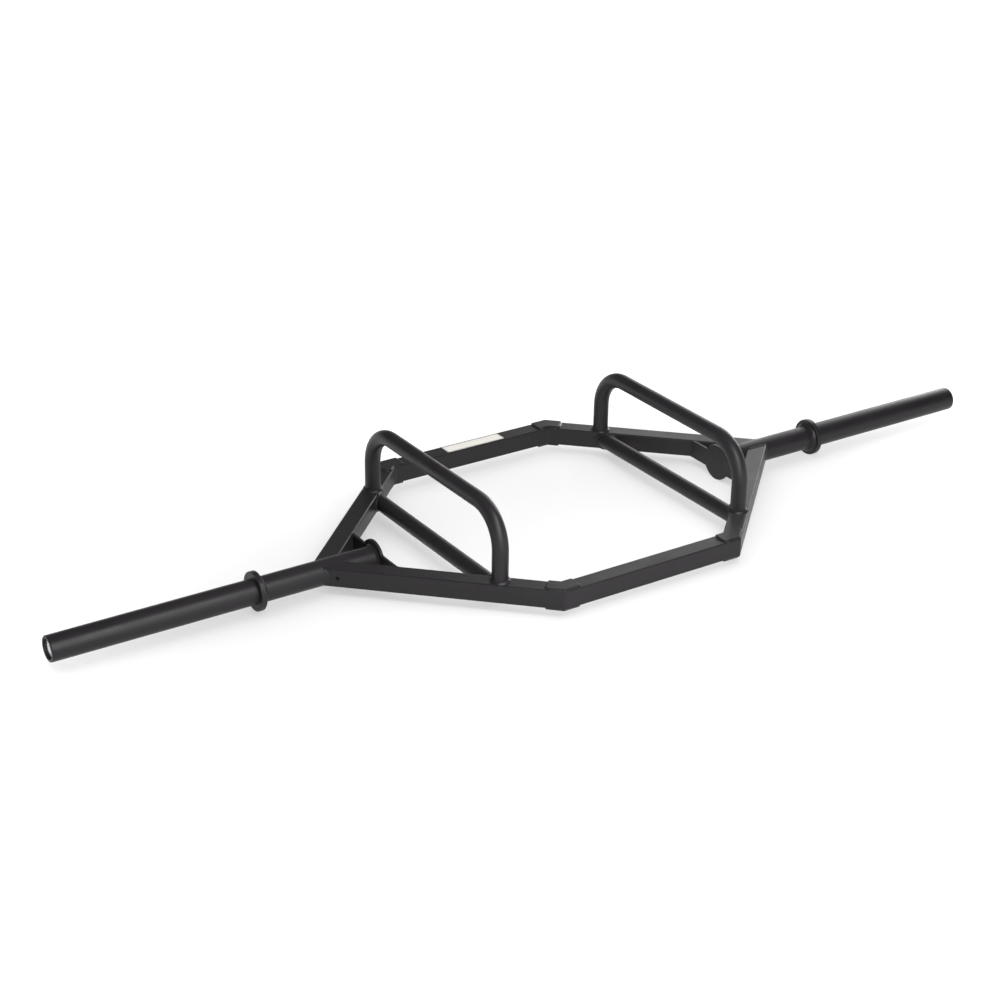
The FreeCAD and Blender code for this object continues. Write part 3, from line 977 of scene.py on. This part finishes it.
@dataclass(frozen=True)
class Handles:
    """The raised arched handles and the low straight ones, with the welds at their feet."""

    layout: Layout
    radius: float = 16 * MM
    foot_bead: Bead = Bead(leg=4.8 * MM, crown=1.0 * MM, ripple=0.12)
    low_bead: Bead = Bead(leg=4.2 * MM, crown=1.1 * MM)

    def build(self, coat: bpy.types.Material, weld_coat: bpy.types.Material) -> Iterator[bpy.types.Object]:
        """Dresses the handles and lays the rings at their ends.

        Args:
            coat: The finish of the tubes.
            weld_coat: The finish over the welds.

        Returns:
            The finished pieces.
        """
        for side in Side:
            name = side.name.lower()
            yield dress(f"{name}_raised_handle", coat)
            yield dress(f"{name}_low_handle", coat)
            for end in End:
                shape = bmesh.new()
                self.lay_welds(shape, side, end)
                yield add_piece(f"{name}_{end.name.lower()}_handle_welds", shape, [weld_coat], Slot.COAT)

    def lay_welds(self, shape: bmesh.types.BMesh, side: Side, end: End) -> None:
        """Lays the ring at a raised handle's foot and the one at a low handle's end.

        Args:
            shape: The mesh that takes the welds.
            side: The handles' side.
            end: Which end of the handles.
        """
        layout = self.layout
        low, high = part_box(f"{side.name.lower()}_raised_handle")
        leg = Vector(((low.x + high.x) / 2, end.value * (high.y - self.radius), layout.face(Level.TOP)))
        self.foot_bead.lay(
            shape,
            tube_seam(leg, UP, Vector((1.0, 0.0, 0.0)), self.radius, leg, UP, self.foot_bead.step))
        outward = layout.outward(side, end)
        wall = layout.corner(side, end) - outward * layout.rail_half
        grip = Vector((leg.x, 0.0, layout.axis_z))
        self.low_bead.lay(
            shape,
            tube_seam(
                grip, Vector((0.0, end.value, 0.0)), UP, self.radius, wall, -outward, self.low_bead.step))


@dataclass(frozen=True)
class BlankLabel:
    """The label on the rear rail: a film with rounded corners and a thin printed border, otherwise blank."""

    corner_radius: float = 3 * MM
    margin: float = 1.6 * MM
    line: float = 0.7 * MM

    def build(self, film: bpy.types.Material, ink: bpy.types.Material) -> Iterator[bpy.types.Object]:
        """Makes the label.

        Args:
            film: The pale print.
            ink: The dark line.

        Returns:
            The finished piece.
        """
        low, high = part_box("blank_label")
        size = high - low
        shape = bmesh.new()
        bmesh.ops.create_cube(
            shape, size=1.0, matrix=Matrix.Translation((low + high) / 2) @ Matrix.Diagonal(size.to_4d()))
        upright = [e for e in shape.edges if abs(e.verts[0].co.z - e.verts[1].co.z) > size.z / 2]
        bmesh.ops.bevel(
            shape, geom=upright, affect="EDGES", offset=self.corner_radius, segments=CORNER_STEPS,
            profile=0.5, material=-1)
        top = [f for f in shape.faces if f.normal.z > LEVEL_RISE]
        bmesh.ops.inset_region(shape, faces=top, thickness=self.margin, use_even_offset=True)
        border = bmesh.ops.inset_region(shape, faces=top, thickness=self.line, use_even_offset=True)
        for face in border["faces"]:
            face.material_index = 1
        label = add_piece("blank_label_film", shape, [film, ink], Slot.LABEL)
        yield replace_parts(label, "blank_label")


@dataclass(frozen=True)
class Softbox:
    """A rectangular lamp that faces the bar and stays out of the picture."""

    name: str
    place: tuple[float, float, float]
    size: tuple[float, float]
    radiance: float
    casts: bool = True
    target: tuple[float, float, float] = (0.0, 0.0, 0.05)

    def hang(self) -> None:
        """Hangs the lamp where it stands, turned to its target."""
        lamp = bpy.data.lights.new(self.name, "AREA")
        lamp.shape = "RECTANGLE"
        lamp.size, lamp.size_y = self.size
        lamp.energy = self.radiance * math.pi * self.size[0] * self.size[1]
        lamp.use_shadow = self.casts
        shown = bpy.data.objects.new(self.name, lamp)
        shown.location = self.place
        back = Vector(self.place) - Vector(self.target)
        shown.rotation_euler = back.to_track_quat("Z", "Y").to_euler()
        shown.visible_camera = False
        bpy.context.scene.collection.objects.link(shown)


@dataclass(frozen=True)
class Studio:
    """White paper floor, a low white wall with a dim room above, lamps, and the photograph's camera."""

    floor_size: float = 40.0
    room_colour: str = "#FFFFFF"
    room: float = 0.064
    wall: float = 1.0
    wall_top: float = 0.1
    room_start: float = 0.2
    camera_place: tuple[float, float, float] = (-2.203487, -3.118012, 1.882791)
    camera_azimuth: float = -33.63755
    camera_elevation: float = 25.60132
    camera_roll: float = 0.77174
    focal_pixels: float = 2105.98
    image_width: int = 1001
    sensor: float = 36.0
    lamps: tuple[Softbox, ...] = (
        Softbox("softbox_back_right", (2.3, 1.4, 1.2), (2.3, 2.3), 1.9, casts=False),
        Softbox("strip_low_right", (2.5, 1.15, 0.62), (0.9, 1.05), 4.2, casts=False),
        Softbox("softbox_front", (-0.1, -1.35, 1.55), (0.9, 0.85), 4.2),
        Softbox("softbox_front_fill", (-0.1, -1.4, 1.61), (0.93, 0.88), 6.8, casts=False),
        Softbox("softbox_low_front", (-0.7, -2.0, 0.9), (1.4, 1.0), 7.8, casts=False),
    )
    ceiling_angle: float = 90.0
    ceiling_way: tuple[float, float, float] = (-0.1, 0.45, 1.0)
    ceiling_strength: float = 1.6

    def build(self, paper: bpy.types.Material) -> None:
        """Sets up floor, room, lamps, camera and view.

        Args:
            paper: The floor's finish.
        """
        self.lay_floor(paper)
        self.light_room()
        for softbox in self.lamps:
            softbox.hang()
        self.light_ceiling()
        self.place_camera()
        bpy.context.scene.view_settings.view_transform = "Standard"

    def lay_floor(self, paper: bpy.types.Material) -> None:
        """Lays the floor under the bar.

        Args:
            paper: The floor's finish.
        """
        shape = bmesh.new()
        bmesh.ops.create_grid(shape, x_segments=1, y_segments=1, size=self.floor_size / 2)
        mesh = bpy.data.meshes.new("studio_floor")
        shape.to_mesh(mesh)
        shape.free()
        mesh.materials.append(paper)
        floor = bpy.data.objects.new("studio_floor", mesh)
        bpy.context.scene.collection.objects.link(floor)

    def light_room(self) -> None:
        """Lights the room evenly, with a white wall up to a little above the horizon."""
        world = bpy.data.worlds.new("studio_room")
        bpy.context.scene.world = world
        world.use_nodes = True
        tree = world.node_tree
        tree.nodes.clear()
        output = add_node(tree, "ShaderNodeOutputWorld")
        way = add_node(tree, "ShaderNodeTexCoord").outputs["Generated"]
        height = add_node(tree, "ShaderNodeSeparateXYZ", links={"Vector": way})
        level = add_node(
            tree, "ShaderNodeMapRange", {"interpolation_type": "SMOOTHSTEP"},
            values={
                "From Min": self.wall_top,
                "From Max": self.room_start,
                "To Min": self.wall,
                "To Max": self.room,
            },
            links={"Value": height.outputs["Z"]})
        # Reflections show the wall as white too. The room above it stays dim in them, or the coat's
        # dark tops would turn grey.
        path = add_node(tree, "ShaderNodeLightPath").outputs
        seen = add_node(tree, "ShaderNodeMath", {"operation": "MAXIMUM"})
        tree.links.new(path["Is Camera Ray"], seen.inputs[0])
        tree.links.new(path["Is Transmission Ray"], seen.inputs[1])
        strength = add_node(tree, "ShaderNodeMath", {"operation": "MAXIMUM"})
        tree.links.new(seen.outputs["Value"], strength.inputs[0])
        tree.links.new(level.outputs["Result"], strength.inputs[1])
        room = add_node(
            tree, "ShaderNodeBackground", values={"Color": linear(self.room_colour)},
            links={"Strength": strength.outputs["Value"]})
        tree.links.new(room.outputs["Background"], output.inputs["Surface"])

    def light_ceiling(self) -> None:
        """Adds the even light of a high white ceiling, which makes soft shadows and no highlights."""
        lamp = bpy.data.lights.new("ceiling_bounce", "SUN")
        lamp.angle = math.radians(self.ceiling_angle)
        lamp.energy = self.ceiling_strength
        ceiling = bpy.data.objects.new("ceiling_bounce", lamp)
        ceiling.rotation_euler = Vector(self.ceiling_way).to_track_quat("Z", "Y").to_euler()
        ceiling.visible_glossy = False
        bpy.context.scene.collection.objects.link(ceiling)

    def place_camera(self) -> None:
        """Puts the camera where the photograph was taken from."""
        azimuth, elevation = math.radians(self.camera_azimuth), math.radians(self.camera_elevation)
        back = Vector((
            math.sin(azimuth) * math.cos(elevation), -math.cos(azimuth) * math.cos(elevation),
            math.sin(elevation)))
        level = UP.cross(back).normalized()
        turned = Matrix.Rotation(math.radians(self.camera_roll), 3, back)
        right, above = turned @ level, turned @ back.cross(level)
        lens = bpy.data.cameras.new("photo_camera")
        lens.sensor_fit = "HORIZONTAL"
        lens.sensor_width = self.sensor
        lens.lens = self.focal_pixels * self.sensor / self.image_width
        lens.clip_end = 2 * self.floor_size
        camera = bpy.data.objects.new("photo_camera", lens)
        axes = Matrix((right, above, back)).transposed()
        camera.matrix_world = Matrix.Translation(self.camera_place) @ axes.to_4x4()
        bpy.context.scene.collection.objects.link(camera)
        bpy.context.scene.camera = camera


def report(pieces: Iterable[bpy.types.Object]) -> None:
    """Logs each piece as it is finished.

    Args:
        pieces: The pieces of one sub-assembly.
    """
    for piece in pieces:
        LOG.info("%s: %d faces", piece.name, len(piece.data.polygons))


def main() -> None:
    """Builds the bar's sub-assemblies in order, then the studio."""
    logging.basicConfig(level=logging.INFO, format="%(name)s %(message)s")
    layout = Layout.read()
    coat = PowderCoat("powder_coat_black_satin").material()
    weld_coat = PowderCoat("powder_coat_over_welds", roughness=0.38).material()
    zinc = TurnedZinc().material(layout.axis_z)
    film = LabelFilm("label_film_pale", "#D6D4CC", "#E2E0D9").material()
    ink = LabelFilm("label_film_border", "#262426", "#312F31").material()
    report(Rails(layout).build(coat))
    report(Gussets(layout).build(coat, weld_coat))
    report(Hubs(layout).build(coat, weld_coat))
    report(Sleeves(layout).build(coat, weld_coat, zinc))
    report(Handles(layout).build(coat, weld_coat))
    report(BlankLabel().build(film, ink))
    Studio().build(StudioPaper().material())


if __name__ == "__main__":
    main()
